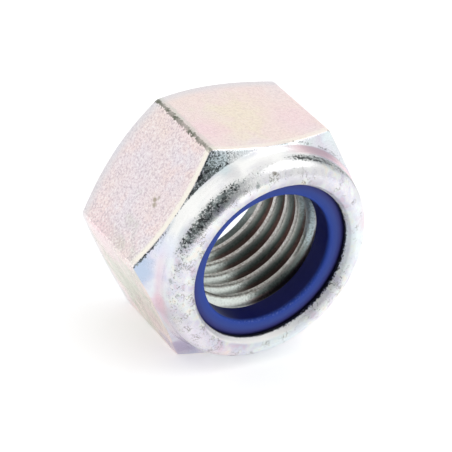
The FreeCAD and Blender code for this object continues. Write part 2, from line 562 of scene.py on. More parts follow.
    def build(self) -> bpy.types.Material:
        """Builds the material.

        Returns:
            The finished node material.
        """
        material, tree = new_tree(self.name)
        ground = PlateGround.read(tree, self.grain_size, self.crumble_size)
        off_cone = add_node(tree, "Math", (ground.front,), operation="ABSOLUTE")
        chamfer = add_node(tree, "MapRange", (off_cone, *self.chamfer_skin))
        burn_and_dark_reflection = self.burn_and_dark_reflection_zone(ground, chamfer)
        colour = self.tints(ground)
        colour = self.edges(ground, colour)
        colour = self.specks(ground, colour)
        colour = self.soot_and_dark_reflection(ground, burn_and_dark_reflection, chamfer, colour)
        colour = self.crevice(ground, colour)
        shader = add_node(tree, "BsdfPrincipled", {
            "Base Color": colour,
            "Metallic": 1.0,
            "Roughness": self.soft_focus(ground),
            "Normal": self.relief(ground, burn_and_dark_reflection, chamfer),
        })
        add_node(tree, "OutputMaterial", {"Surface": shader})
        return material

    def burn_and_dark_reflection_zone(self, ground: PlateGround, chamfer: Socket) -> Socket:
        """Marks the burn marks, which painted dark reflection deepens: one chamfer's corner, the chamfers'
        upper rims and the arcs.

        Args:
            ground: the tree and its places.
            chamfer: share of the front chamfers.

        Returns:
            A share that is 1 where the burn marks and the painted dark reflection are strongest.
        """
        tree, place = ground.tree, ground.place
        away = add_node(tree, "VectorMath", (place, self.burn_and_dark_reflection_corner), "Value", operation="DISTANCE")
        worst = add_node(tree, "MapRange", (away, *self.burn_and_dark_reflection_corner_fade))
        for side, start, full, strength, middle in self.burn_and_dark_reflection_rims:
            rim = reach_along(tree, place, side, (start * MM, full * MM, 0.0, strength))
            across = outward(side - 90)
            along = add_node(tree, "VectorMath", (place, across), "Value", operation="DOT_PRODUCT")
            along = add_node(tree, "Math", (along,), operation="ABSOLUTE")
            rim = where_all(tree, rim, (along, *self.rim_middle, middle, 1.0))
            worst = add_node(tree, "Math", (worst, rim), operation="MAXIMUM")
        zone = where_all(tree, worst, chamfer)
        for arc in self.burn_and_dark_reflection_arcs:
            share = where_all(tree, *self.arc_shares(ground, arc))
            zone = add_node(tree, "Math", (zone, share), operation="MAXIMUM")
        return zone

    @staticmethod
    def arc_shares(ground: PlateGround, arc: CollarArc) -> list[Share]:
        """Marks one arc round the collar.

        Args:
            ground: the tree and its places.
            arc: the arc.

        Returns:
            Shares whose product is the arc's strength on it: of its length, its lower and its upper side.
        """
        reach = (arc.reach[0] * MM, arc.reach[1] * MM, 0.0, arc.strength)
        start, full, full_end, end = (turn * MM for turn in arc.turns)
        return [
            reach_along(ground.tree, ground.place, arc.middle, reach),
            (ground.turn, start, full, 0.0, 1.0),
            (ground.turn, full_end, end, 1.0, 0.0),
        ]

    def patched(
        self, ground: PlateGround, bend: Socket, patches: tuple[Patch, ...], colour: Socket
    ) -> Socket:
        """Lays patches of tint in order.

        Args:
            ground: the tree and its places.
            bend: noise that frays the patches' edges.
            patches: the patches.
            colour: the colour so far.

        Returns:
            The colour with the patches.
        """
        tree = ground.tree
        for patch in patches:
            size = patch.size * MM
            middle = tuple(value * MM for value in patch.middle)
            away = add_node(tree, "VectorMath", (ground.place, middle), "Value", operation="DISTANCE")
            fray = (bend, self.patch_fray * size, away)
            frayed = add_node(tree, "Math", fray, operation="MULTIPLY_ADD")
            edge = (frayed, self.patch_edge[0] * size, self.patch_edge[1] * size, patch.strength, 0.0)
            share = add_node(tree, "MapRange", edge, interpolation_type="SMOOTHSTEP")
            colour = laid_over(tree, colour, patch.tint, share)
        return colour

    def tints(self, ground: PlateGround) -> Socket:
        """Lays the passivation's drifting colours, warmer on the flats and cooler on the collar.

        Args:
            ground: the tree and its places.

        Returns:
            The plate's colour.
        """
        tree, place = ground.tree, ground.place
        drift = add_node(tree, "TexNoise", {
            "Vector": place, "Scale": 1 / self.drift_size, "Detail": 3.0, "Roughness": 0.55,
        })
        bend = add_node(tree, "TexNoise", {"Vector": place, "Scale": 1 / self.fray_size})
        mottle = add_node(tree, "TexNoise", {"Vector": place, "Scale": 1 / self.mottle_size})
        flats = add_node(tree, "ValToRGB", (drift,), stops=self.flat_drift)
        flats = self.patched(ground, bend, self.flat_patches, flats)
        collar = add_node(tree, "ValToRGB", (drift,), stops=self.collar_drift)
        rolled = add_node(tree, "ValToRGB", (mottle,), stops=self.rolled_mottle)
        collar = laid_over(tree, collar, rolled, (ground.turn, *self.rolled_start))
        # Painted highlights along the white arcs
        for arc in self.painted_highlight_arcs:
            collar = laid_over(tree, collar, PlateTint.WHITE, *self.arc_shares(ground, arc))
        collar = self.patched(ground, bend, self.collar_patches, collar)
        for arc in self.blush_arcs:
            collar = laid_over(tree, collar, PlateTint.BLUSH, *self.arc_shares(ground, arc))
        return laid_over(tree, flats, collar, (ground.front, *self.collar_start))

    def edges(self, ground: PlateGround, colour: Socket) -> Socket:
        """Draws the flats' grain and edges: painted shade and highlights in the grain, a painted ivory
        highlight along the front rims, a scuff on one corner.

        Args:
            ground: the tree and its places.
            colour: the plate's colour so far.

        Returns:
            The colour with its edges.
        """
        tree, place = ground.tree, ground.place
        on_flat = add_node(tree, "MapRange", (ground.front, *self.flat_end))
        grainy = reach_along(tree, place, Side.UPPER_LEFT_FLAT, self.grainy_flat)
        # Painted shade in each hollow of the grain, and a painted highlight on each peak
        for tint, fade in ((self.hollow_shade_tint, self.shaded_hollows), (PlateTint.WHITE, self.lit_peaks)):
            colour = laid_over(tree, colour, tint, (ground.grain, *fade), grainy, on_flat)
        smooth = {"interpolation_type": "SMOOTHSTEP"}
        # Painted highlight: an ivory band along the flats' front rims
        rim = add_node(tree, "MapRange", (ground.front, *self.ivory_highlight_rim), **smooth)
        bold = (grainy, *self.bold_rim)
        faint = reach_along(tree, place, Side.LOWER_LEFT_FLAT, self.faint_rim)
        colour = laid_over(tree, colour, PlateTint.IVORY, rim, on_flat, bold, faint)
        back = add_node(tree, "MapRange", (ground.back, *self.bearing_rim), **smooth)
        colour = laid_over(tree, colour, self.bearing_rim_tint, back)
        return self.scuffed_corner(ground, on_flat, colour)

    def scuffed_corner(self, ground: PlateGround, on_flat: Socket, colour: Socket) -> Socket:
        """Scuffs the corner above the dark chamfer: a torn dark line with a pale green-grey band beside it.

        Args:
            ground: the tree and its places.
            on_flat: share of the flats.
            colour: the plate's colour so far.

        Returns:
            The colour with the scuffed corner.
        """
        tree, place = ground.tree, ground.place
        out, past = outward(Side.UPPER_LEFT_CORNER), outward(Side.UPPER_LEFT_CORNER + 90)
        reach = add_node(tree, "VectorMath", (place, out), "Value", operation="DOT_PRODUCT")
        near = add_node(tree, "Math", (reach, self.scuff_start), operation="GREATER_THAN")
        across = add_node(tree, "VectorMath", (place, past), "Value", operation="DOT_PRODUCT")
        torn = add_node(tree, "Math", (ground.grain, self.scuff_tear, across), operation="MULTIPLY_ADD")
        broken = add_node(tree, "TexNoise", {"Vector": place, "Scale": 1 / self.scuff_break_size})
        gaps = (broken, *self.scuff_break)
        for low, high, strength, tint in self.scuff_bands:
            start = (torn, (low - self.scuff_fade) * MM, low * MM, 0.0, 1.0)
            end = (torn, (high + self.scuff_fade) * MM, high * MM, 0.0, 1.0)
            colour = laid_over(tree, colour, tint, near, on_flat, start, end, gaps, strength)
        return colour

    def specks(self, ground: PlateGround, colour: Socket) -> Socket:
        """Adds small curled specks of soil on the lip, a few faint ones elsewhere, and the nicks.

        Args:
            ground: the tree and its places.
            colour: the plate's colour so far.

        Returns:
            The colour with its specks.
        """
        tree, place = ground.tree, ground.place
        curl = add_node(tree, "TexNoise", {
            "Vector": place, "Scale": 1 / self.curl_size, "Detail": 3.0, "Roughness": 0.6,
        })
        off = add_node(tree, "Math", (curl, self.curl_middle), operation="SUBTRACT")
        off = add_node(tree, "Math", (off,), operation="ABSOLUTE")
        crowd = add_node(tree, "TexNoise", {"Vector": place, "Scale": 1 / self.crowd_size})
        side = outward(self.crowd_side)
        reach = add_node(tree, "VectorMath", (place, side), "Value", operation="DOT_PRODUCT")
        crowd = add_node(tree, "Math", (reach, self.crowd_rise, crowd), operation="MULTIPLY_ADD")
        colour = laid_over(
            tree, colour, PlateTint.SOIL,
            (off, *self.curl_line), (crowd, *self.crowd), (ground.turn, *self.speck_turns),
        )
        return self.patched(ground, curl, self.nicks, colour)

    def soot_and_dark_reflection(self, ground: PlateGround, burn_and_dark_reflection: Socket, chamfer: Socket, colour: Socket) -> Socket:
        """Darkens the burn zones grain by grain, in blotches of charcoal and ash, over a haze of ash. The
        darkening is partly painted dark reflection.

        Args:
            ground: the tree and its places.
            burn_and_dark_reflection: share of the burn zones, which painted dark reflection deepens.
            chamfer: share of the front chamfers, which have no haze.
            colour: the plate's colour so far.

        Returns:
            The colour, with sooty blotches and painted dark reflection.
        """
        tree = ground.tree
        colour = laid_over(tree, colour, PlateTint.ASH, (chamfer, *self.soot_and_reflection_haze), burn_and_dark_reflection)
        grains = add_node(tree, "MapRange", (ground.crumble, *self.soot_grains))
        amount = where_all(tree, burn_and_dark_reflection, self.soot_gain)
        amount = add_node(tree, "Math", (amount, grains), operation="SUBTRACT")
        blotch = add_node(tree, "TexNoise", {"Vector": ground.place, "Scale": 1 / self.blotch_size})
        dark = add_node(tree, "ValToRGB", (blotch,), stops=self.blotches)
        return laid_over(tree, colour, dark, (amount, *self.soot_edge))

    def crevice(self, ground: PlateGround, colour: Socket) -> Socket:
        """Lays a painted glint on the cone under the lip, and paints shade black into the lip's inner edge
        and underside.

        Args:
            ground: the tree and its places.
            colour: the plate's colour so far.

        Returns:
            The finished colour.
        """
        tree, place = ground.tree, ground.place
        radius, height = ground.radius, ground.height
        tear = reach_along(tree, place, self.tear_side, self.tear)
        centred = add_node(tree, "Math", (ground.crumble, 0.5), operation="SUBTRACT")
        frayed = add_node(tree, "Math", (centred, tear, height), operation="MULTIPLY_ADD")
        glint = reach_along(tree, place, self.glint_side, self.glint)
        top = add_node(tree, "Math", (height, self.glint_bottom), operation="GREATER_THAN")
        colour = laid_over(tree, colour, self.glint_tint, (radius, *self.glint_radius), glint, top)
        # Painted shade: black in the crevice under the lip, torn at its top edge
        inner = add_node(tree, "Math", (radius, self.crevice_radius), operation="LESS_THAN")
        raised = add_node(tree, "Math", (height, self.crevice_bottom), operation="GREATER_THAN")
        low = (frayed, *self.crevice_top)
        return laid_over(tree, colour, PlateTint.CREVICE_SHADE, low, inner, raised)

    def soft_focus(self, ground: PlateGround) -> Socket:
        """Gives the mirror its soft focus, which drifts a little and is duller round the lip.

        Args:
            ground: the tree and its places.

        Returns:
            The roughness.
        """
        tree = ground.tree
        drift = add_node(tree, "TexNoise", {"Vector": ground.place, "Scale": 1 / self.focus_size})
        start, end, *changes = self.focus_drift
        softness = (drift, start, end, *(self.roughness + change for change in changes))
        softness, lip = where_all(tree, softness), where_all(tree, (ground.turn, *self.dull_lip))
        return add_node(tree, "Math", (softness, lip), operation="ADD")

    def relief(self, ground: PlateGround, burn_and_dark_reflection: Socket, chamfer: Socket) -> Socket:
        """Gives the flats their orange peel, and the chamfers and burn zones their coarser skin.

        Args:
            ground: the tree and its places.
            burn_and_dark_reflection: share of the burn zones, which painted dark reflection deepens.
            chamfer: share of the front chamfers.

        Returns:
            The bent normal.
        """
        tree = ground.tree
        coarse = add_node(tree, "Math", (chamfer, burn_and_dark_reflection), operation="MAXIMUM")
        peel = add_node(tree, "Bump", {"Height": ground.grain, "Distance": self.grain_height})
        return add_node(tree, "Bump", {
            "Height": ground.crumble, "Strength": coarse, "Distance": self.crumble_height, "Normal": peel,
        })


@dataclass(frozen=True)
class Shine:
    """A side of the thread that mirrors another part of the room, or that lies in shade.

    It runs along a direction, from where it starts to where it is full. Its wear is the share of its
    strength that is left on the roughest spots.
    """

    direction: tuple[float, float, float]
    start: float
    full: float
    strength: float
    hex_code: str
    wear: float = 0.8


@dataclass(frozen=True)
class TappedThread:
    """Zinc over a thread that a tap has cut: pale and dull on the crests, stained in the grooves.

    The plate is thin in the grooves, so the flanks stay grey-green and the roots brown, and painted shade
    darkens the grooves further towards the roots. Painted reflections and painted shade lie on some sides
    of the thread. The tap's chatter leaves fine marks across the flanks. The countersink is turned, and has
    the bright plate of the outside.
    """

    name: str = "zinc_plate_on_tapped_thread"
    flank_roughness: float = 0.30
    crest_roughness: float = 0.45

    # Tints from the crest, at 0, to the root, at 1, with painted shade that darkens the grooves
    groove: Stops = (
        (0.0, "E9E7E5"), (0.06, "DAD9D5"), (0.15, "959C97"), (0.26, "7C8682"),
        (0.50, "788380"), (0.62, "B2938F"), (0.92, "B89894"), (1.0, "86706D"),
    )
    gloss_depth: tuple[float, float] = (0.03, 0.12)

    # The roughness and the tap's marks, both drawn coarser than the real tenth of a millimetre, to show
    rough_size: float = 0.3 * MM
    rough_height: float = 0.015 * MM
    mark_size: float = 0.3 * MM
    mark_height: float = 0.012 * MM
    mark_stretch: float = 0.15

    # Dull spots everywhere, and scuffs on the crests that are strongest on the lower side
    spots: Fade = (0.35, 0.60, 0.35, 0.0)
    spot_tint: str = "6F6C66"
    crest_depth: Fade = (0.08, 0.20, 1.0, 0.0)
    crest_scuff: Fade = (0.36, 0.62, 0.84, 0.40)
    scuff_height: Fade = (-8.5 * MM, 1.0 * MM, 1.0, 0.4)
    scuff_tint: str = "857D74"

    # The countersink's skin, by radius and height together
    countersink: Fade = ((MOUTH_RADIUS + 0.02) * MM, (MOUTH_RADIUS + 0.12) * MM, 1.0, 0.0)

    # The shines' edges: how far the roughness tears them, and where it wears them
    shine_tear: float = 2.5
    shine_wear: tuple[float, float] = (0.36, 0.56)
    shines: tuple[Shine, ...] = (
        Shine((-1.0, 0.0, 0.0), -3.0, -1.0, 0.95, "EFF7F1"),
        Shine((0.0, 1.0, 0.0), -3.4, -2.4, 0.8, "D6E2E2"),
        Shine((0.45, -0.8, 0.4), 13.6, 15.2, 0.75, "B4C5CB", 0.2),
        Shine((0.6, 0.0, -0.8), 8.7, 9.5, 0.55, "39403C"),
        Shine((0.55, -0.8, -0.55), 17.4, 18.6, 0.6, "3C4441"),
    )

    def build(self) -> bpy.types.Material:
        """Builds the material.

        Returns:
            The finished node material.
        """
        material, tree = new_tree(self.name)
        place = add_node(tree, "TexCoord", (), "Object")
        radius = from_axis(tree, place)
        depth = add_node(tree, "MapRange", (radius, THREAD_CREST * MM, THREAD_ROOT * MM, 0.0, 1.0))
        rough = add_node(tree, "TexNoise", {
            "Vector": place, "Scale": 1 / self.rough_size, "Detail": 3.0, "Roughness": 0.6,
        })
        # The grooves darken towards the roots: grey-green and brown stains, and painted shade
        colour = add_node(tree, "ValToRGB", (depth,), stops=self.groove)
        colour = laid_over(tree, colour, self.spot_tint, (rough, *self.spots))
        # Painted reflections and painted shade on some sides of the thread
        for shine in self.shines:
            colour = self.shone(tree, place, rough, shine, colour)
        ways = add_node(tree, "SeparateXYZ", (place,)).node.outputs
        colour = laid_over(
            tree, colour, self.scuff_tint,
            (rough, *self.crest_scuff), (depth, *self.crest_depth), (ways["Z"], *self.scuff_height),
        )
        lead = add_node(tree, "Math", (radius, ways["Y"]), operation="SUBTRACT")
        colour = laid_over(tree, colour, PlateTint.SILVER, (lead, *self.countersink))
        gloss = (depth, *self.gloss_depth, self.crest_roughness, self.flank_roughness)
        shader = add_node(tree, "BsdfPrincipled", {
            "Base Color": colour,
            "Metallic": 1.0,
            "Roughness": where_all(tree, gloss),
            "Normal": self.chatter(tree, ways, radius, rough),
        })
        add_node(tree, "OutputMaterial", {"Surface": shader})
        return material

    def shone(self, tree: Tree, place: Socket, rough: Socket, shine: Shine, colour: Socket) -> Socket:
        """Lays one shine.

        Args:
            tree: the material's node tree.
            place: the point.
            rough: the roughness's relief.
            shine: the shine.
            colour: the colour so far.

        Returns:
            The colour with the shine.
        """
        reach = add_node(tree, "VectorMath", (place, shine.direction), "Value", operation="DOT_PRODUCT")
        torn = add_node(tree, "Math", (rough, self.shine_tear * MM, reach), operation="MULTIPLY_ADD")
        start, full = ((end + self.shine_tear / 2) * MM for end in (shine.start, shine.full))
        worn = (rough, *self.shine_wear, shine.wear, 1.0)
        return laid_over(tree, colour, shine.hex_code, (torn, start, full, 0.0, shine.strength), worn)

    def chatter(
        self, tree: Tree, ways: bpy.types.NodeOutputs, radius: Socket, rough: Socket
    ) -> Socket:
        """Cuts the tap's fine marks across the groove, over a slight roughness.

        Args:
            tree: the material's node tree.
            ways: the point's three coordinates.
            radius: the point's distance from the axis.
            rough: the roughness's relief.

        Returns:
            The bent normal.
        """
        angle = add_node(tree, "Math", (ways["Z"], ways["X"]), operation="ARCTAN2")
        around = where_all(tree, angle, THREAD_ROOT * MM)
        across = where_all(tree, radius, self.mark_stretch)
        along = where_all(tree, ways["Y"], self.mark_stretch)
        stretched = add_node(tree, "CombineXYZ", (around, across, along))
        marks = add_node(tree, "TexNoise", {"Vector": stretched, "Scale": 1 / self.mark_size})
        normal = add_node(tree, "Bump", {"Height": rough, "Distance": self.rough_height})
        return add_node(tree, "Bump", {
            "Height": marks, "Distance": self.mark_height, "Normal": normal,
        })


@dataclass(frozen=True)
class MouldedNylon:
    """Injection-moulded nylon, dyed royal blue: smooth, waxy and slightly translucent.

    The ring's face is paler than the bore's wall, which is painted dark as shade. The face darkens to
    painted shade under the lip, and pale flecks on the bore's edge are painted highlights.
    """

    name: str = "nylon_moulded_blue"
    ior: float = 1.53
    roughness: float = 0.38
    specular: float = 0.09
    translucence: float = 0.15
    light_spread: tuple[float, float, float] = (0.4, 0.5, 1.0)
    light_depth: float = 0.4 * MM
    skin_size: float = 0.4 * MM
    skin_height: float = 0.006 * MM

    # The face's tints from the bore, at 0, to under the lip, at 1, which a noise makes uneven; the dark end
    # is painted shade under the lip
    face_width: tuple[float, float] = (9.0 * MM, 11.2 * MM)
    face: Stops = ((0.08, "3350AC"), (0.18, "3852AC"), (0.50, "4559A9"), (0.80, "4D5099"), (1.0, "201D44"))
    cloud_size: float = 2.5 * MM
    cloud_strength: float = 0.06

    # The bore's wall, by the distance along the axis, painted dark as shade
    wall: Fade = (-18.5 * MM, -17.7 * MM, 0.0, 1.0)
    wall_shade_tint: str = "080F54"

    # Painted highlights: pale flecks on the lower side of the bore's edge
    highlight_fleck_size: float = 0.22 * MM
    highlight_flecks: Fade = (0.50, 0.64, 0.0, 0.3)
    highlight_fleck_radius: Fade = (9.22 * MM, 9.42 * MM, 1.0, 0.0)
    highlight_fleck_side: float = -70.0
    highlight_fleck_reach: Fade = (5.0 * MM, 8.5 * MM, 0.0, 1.0)
    highlight_fleck_tint: str = "8C9BDC"

    def build(self) -> bpy.types.Material:
        """Builds the material.

        Returns:
            The finished node material.
        """
        material, tree = new_tree(self.name)
        place = add_node(tree, "TexCoord", (), "Object")
        radius = from_axis(tree, place)
        cloud = add_node(tree, "TexNoise", {"Vector": place, "Scale": 1 / self.cloud_size})
        across = add_node(tree, "MapRange", (radius, *self.face_width, 0.0, 1.0))
        across = add_node(tree, "Math", (cloud, self.cloud_strength, across), operation="MULTIPLY_ADD")
        # The face darkens to painted shade under the lip
        colour = add_node(tree, "ValToRGB", (across,), stops=self.face)
        # Painted highlights: pale flecks on the lower side of the bore's edge
        fleck_noise = add_node(tree, "TexNoise", {"Vector": place, "Scale": 1 / self.highlight_fleck_size})
        colour = laid_over(
            tree, colour, self.highlight_fleck_tint, (fleck_noise, *self.highlight_flecks), (radius, *self.highlight_fleck_radius),
            reach_along(tree, place, self.highlight_fleck_side, self.highlight_fleck_reach),
        )
        # Painted shade: the bore's wall darkened
        along = add_node(tree, "SeparateXYZ", (place,), "Y")
        wall = add_node(tree, "MapRange", (along, *self.wall), interpolation_type="SMOOTHSTEP")
        colour = laid_over(tree, colour, self.wall_shade_tint, wall)
        skin = add_node(tree, "TexNoise", {"Vector": place, "Scale": 1 / self.skin_size})
        shader = add_node(tree, "BsdfPrincipled", {
            "Base Color": colour,
            "Roughness": self.roughness,
            "IOR": self.ior,
            "Specular IOR Level": self.specular,
            "Subsurface Weight": self.translucence,
            "Subsurface Radius": self.light_spread,
            "Subsurface Scale": self.light_depth,
            "Normal": add_node(tree, "Bump", {"Height": skin, "Distance": self.skin_height}),
        })
        add_node(tree, "OutputMaterial", {"Surface": shader})
        return material


@dataclass(frozen=True)
class Corner:
    """A corner of a drawn line, and how far from it on both sides its rounding starts."""

    radius: float
    height: float
    cut: float = 0.0

    def point(self) -> Vector:
        """Its place upright, in metres."""
        return Vector((self.radius * MM, 0, self.height * MM))


def rounded_line(corners: list[Corner], segments: int) -> list[Vector]:
    """Draws an open line and rounds its corners with a vertex bevel.

    Args:
        corners: the line's corners.
        segments: how many chords stand for each rounding.

    Returns:
        The line's points in order, in metres, as radius, 0 and height.
    """
    drawing = bmesh.new()
    points = [drawing.verts.new(corner.point()) for corner in corners]
    for start, end in zip(points, points[1:]):
        drawing.edges.new((start, end))
    for point, corner in zip(points, corners):
        if corner.cut:
            bmesh.ops.bevel(
                drawing, geom=[point], offset=corner.cut * MM, offset_type="OFFSET",
                segments=segments, profile=0.5, affect="VERTICES", material=-1,
            )
    start = corners[0].point()
    ahead = [min(drawing.verts, key=lambda v: (v.co - start).length)]
    ordered = []
    while ahead:
        ordered.append(ahead[0])
        neighbours = [edge.other_vert(ordered[-1]) for edge in ordered[-1].link_edges]
        ahead = [vert for vert in neighbours if vert not in ordered]
    line = [vert.co.copy() for vert in ordered]
    drawing.free()
    return line


@dataclass
class Outline:
    """A smooth line from the widest corner inwards, which gives the point at a distance along it."""

    points: list[Vector]
    lengths: list[float] = field(init=False)
    least_span: float = 1e-12

    def __post_init__(self) -> None:
        """Measures the line from its start to each of its points."""
        self.lengths = [0.0]
        for start, end in zip(self.points, self.points[1:]):
            self.lengths.append(self.lengths[-1] + (end - start).length)

    def at_length(self, length: float) -> tuple[float, float]:
        """Finds a point of the line.

        Args:
            length: distance along the line from its start.

        Returns:
            The point's radius and height.
        """
        length = min(max(length, 0.0), self.lengths[-1])
        place = next(place for place, end in enumerate(self.lengths) if place and length <= end)
        before, after = self.lengths[place - 1:place + 1]
        point = self.points[place - 1].lerp(self.points[place], (length - before) / (after - before))
        return point.x, point.z

    def length_at_radius(self, radius: float) -> float:
        """Finds where the line, which only runs inwards, has a radius.

        Args:
            radius: the radius that is looked for.

        Returns:
            Distance along the line from its start.
        """
        for place in range(1, len(self.points)):
            outer, inner = self.points[place - 1].x, self.points[place].x
            if inner <= radius <= outer:
                share = (outer - radius) / max(outer - inner, self.least_span)
                return self.lengths[place - 1] + share * (self.lengths[place] - self.lengths[place - 1])
        raise ValueError("the line doesn't reach that radius")


class RingSkin:
    """A skin drawn ring by ring: each ring is extruded from the last one and then put in its place."""

    DIRECTIONS_PER_RADIAN = 10000

    def __init__(
        self, mesh: bmesh.types.BMesh, ring: list[bmesh.types.BMEdge], reaches: dict[int, float]
    ) -> None:
        """Starts the skin.

        Args:
            mesh: the mesh that the skin is drawn in.
            ring: the closed ring of edges that it starts from.
            reaches: the hexagon's radius in each direction.
        """
        self.mesh = mesh
        self.ring = ring
        self.reaches = reaches

    @classmethod
    def direction(cls, point: Vector) -> int:
        """The direction of a point from the axis, in ten-thousandths of a radian."""
        return round(math.atan2(point.y, point.x) % FULL_TURN * cls.DIRECTIONS_PER_RADIAN)

    def extend(self, place: Place) -> None:
        """Adds one ring.

        Args:
            place: gives the new ring's radius and height for the hexagon's radius in that direction.
        """
        made = bmesh.ops.extrude_edge_only(self.mesh, edges=self.ring)["geom"]
        points = {item for item in made if isinstance(item, bmesh.types.BMVert)}
        self.ring = [
            item for item in made
            if isinstance(item, bmesh.types.BMEdge) and set(item.verts) <= points
        ]
        for point in points:
            radius, height = place(self.reaches[self.direction(point.co)])
            away = Vector((point.co.x, point.co.y, 0)).normalized()
            point.co = away * radius + Vector((0, 0, height))


@dataclass
class SteelBody:
    """The forged steel nut: hexagon, chamfers, collar, rolled lip, ring seat and thread, as one piece.

    Its rings of points lie at given shares of a flat, chamfer, foot or waist, or at radii of the face.
    """

    # Hexagon, drawn from a ring at a height halfway up its flats
    flat_radius: float = 15.0
    corner_cut: float = 0.346
    corner_segments: int = 4
    columns_per_side: int = 28
    halfway: float = 8.0
    flat_rings: tuple[float, ...] = (0.25, 0.5, 0.75, 0.95, 1.0)
    edge_segments: int = 4

    # Bearing end: its face with a slightly rounded rim, and the chamfer with its broken edge
    bearing_radius: float = 14.4
    rim_cut: float = 0.12
    rim_bulge: float = 0.13
    face_radii: tuple[float, ...] = (12.2, 11.0)
    chamfer_rings: tuple[float, ...] = (0.5, 0.9)
    edge_break: float = 0.35

    # Collar's end: the outline from the chamfer over the lip into the seat, and where its parts start
    front: list[Corner] = field(default_factory=lambda: [
        Corner(18.4, 14.058),
        Corner(14.95, 16.05, 0.12),
        Corner(14.45, 17.117, 0.22),
        Corner(14.25, 20.0, 2.19),
        Corner(11.4, 20.0, 0.23),
        Corner(10.95, 19.2, 0.08),
        Corner(10.95, 18.7, 0.08),
        Corner(11.8, 18.55),
        Corner(11.8, 15.2),
        Corner(10.3, 15.2),
    ])
    front_segments: int = 8
    front_edge_cut: float = 0.34
    foot_start: float = 15.07
    foot_end: float = 14.88
    waist_radius: float = 14.55
    ring_gap: float = 0.06
    chamfer_and_foot_rings: tuple[float, ...] = (0.25, 0.5, 0.75, 1.0)
    waist_rings: tuple[float, ...] = (0.35, 0.7, 1.0)

    # Thread, whose root and crest are so wide as shares of the pitch
    pitch: float = 2.5
    root_share: float = 1 / 8
    crest_share: float = 1 / 4
    root_cut: float = 0.04
    crest_cut: float = 0.07
    flank_length: float = 0.8
    flank_cuts: int = 5
    thread_columns: int = 180
    seat_height: float = 15.2
    seat_chamfer_radius: float = 10.1
    rim_tolerance: float = 0.01

    # Unevenness: where it starts, over what height it grows, its waves per metre and its depth
    uneven_height: float = 16.6
    uneven_radius: float = 10.9
    uneven_growth: float = 1.5
    waves_per_metre: float = 260.0
    wave_depth: float = 0.06

    def build(self) -> bpy.types.Object:
        """Models the whole body and lays it on its flat.

        Returns:
            The finished object.
        """
        body = bmesh.new()
        ring = self.bar_outline(body)
        reaches = {RingSkin.direction(v.co): v.co.xy.length for v in body.verts}
        self.bearing_end(RingSkin(body, ring, reaches))
        self.collar_end(RingSkin(body, ring, reaches))
        self.thread(body)
        self.close(body)
        bmesh.ops.recalc_face_normals(body, faces=body.faces)
        self.unevenness(body)
        bmesh.ops.rotate(body, cent=(0, 0, 0), matrix=LAY_ON_FLAT, verts=body.verts)
        return finished_object(body, "nut_body", [ZincPlate().build(), TappedThread().build()])

    def bar_outline(self, body: bmesh.types.BMesh) -> list[bmesh.types.BMEdge]:
        """Draws the bar's hexagon with rounded corners, halfway up the flats.

        Args:
            body: the mesh that it is drawn in.

        Returns:
            The outline's edges.
        """
        corner_radius = self.flat_radius / math.cos(math.pi / SIDES) * MM
        turn = Matrix.Rotation(math.pi / SIDES, 4, "Z")
        half_up = Matrix.Translation((0, 0, self.halfway * MM))
        made = bmesh.ops.create_circle(body, segments=SIDES, radius=corner_radius, matrix=half_up @ turn)
        bmesh.ops.bevel(
            body, geom=made["verts"], offset=self.corner_cut * MM, offset_type="OFFSET",
            segments=self.corner_segments, profile=0.5, affect="VERTICES", material=-1,
        )
        sides = [edge for edge in body.edges if edge.calc_length() > self.flat_radius * MM / 2]
        bmesh.ops.subdivide_edges(body, edges=sides, cuts=self.columns_per_side - 1)
        return list(body.edges)

    def flats(self, skin: RingSkin, end: Callable[[float], float]) -> None:
        """Draws the flats from halfway to one of their ends.

        Args:
            skin: the skin, which starts halfway up the flats.
            end: gives the height of a flat's end for the hexagon's radius there.
        """
        half = self.halfway * MM
        for share in self.flat_rings:
            skin.extend(lambda reach, share=share: (reach, half + (end(reach) - half) * share))

    def round_edge(self, skin: RingSkin, cut: float, corner: Place, before: Place, after: Place) -> None:
        """Draws the rings that break the edge between a flat and an end.

        Args:
            skin: the skin, whose last ring is where the rounding starts.
            cut: distance of the rounding's start and end from the sharp corner, in metres.
            corner: gives the sharp corner.
            before: gives the unit direction from the corner back along the flat.
            after: gives the unit direction from the corner on along the end.
        """
        for step in range(1, self.edge_segments + 1):
            share = step / self.edge_segments

            def place(reach: float, share: float = share) -> tuple[float, float]:
                """Finds a point of the rounding, on the parabola that touches both lines.

                Args:
                    reach: the hexagon's radius in the point's direction.
                    share: how far along the rounding it is.

                Returns:
                    The point's radius and height.
                """
                near, far = (1 - share) ** 2 * cut, share ** 2 * cut
                parts = zip(corner(reach), before(reach), after(reach))
                radius, height = (sharp + back * near + on * far for sharp, back, on in parts)
                return radius, height

            skin.extend(place)

    def bearing_end(self, skin: RingSkin) -> None:
        """Draws the flats down to their lower edge, the bearing chamfer and the bearing face.

        Args:
            skin: the skin, which starts halfway up the flats.
        """
        inward, down = math.cos(CHAMFER_ANGLE), math.sin(CHAMFER_ANGLE)
        cut = self.edge_break * math.tan((math.pi / 2 - CHAMFER_ANGLE) / 2) * MM
        face, rim = self.bearing_radius * MM, self.rim_cut * MM

        def edge_height(reach: float) -> float:
            """Height at which the chamfer cuts a flat."""
            return (reach - face) * math.tan(CHAMFER_ANGLE)

        self.flats(skin, lambda reach: edge_height(reach) + cut)
        self.round_edge(
            skin, cut,
            corner=lambda reach: (reach, edge_height(reach)),
            before=lambda reach: (0.0, 1.0),
            after=lambda reach: (-inward, -down),
        )
        for share in self.chamfer_rings:
            skin.extend(lambda reach, share=share: (
                reach + (face - reach) * share, edge_height(reach) * (1 - share),
            ))
        for ring in (
            (face + rim * inward, rim * down),
            (face, rim * self.rim_bulge),
            (face - rim, 0.0),
            *((radius * MM, 0.0) for radius in self.face_radii),
        ):
            skin.extend(lambda reach, ring=ring: ring)

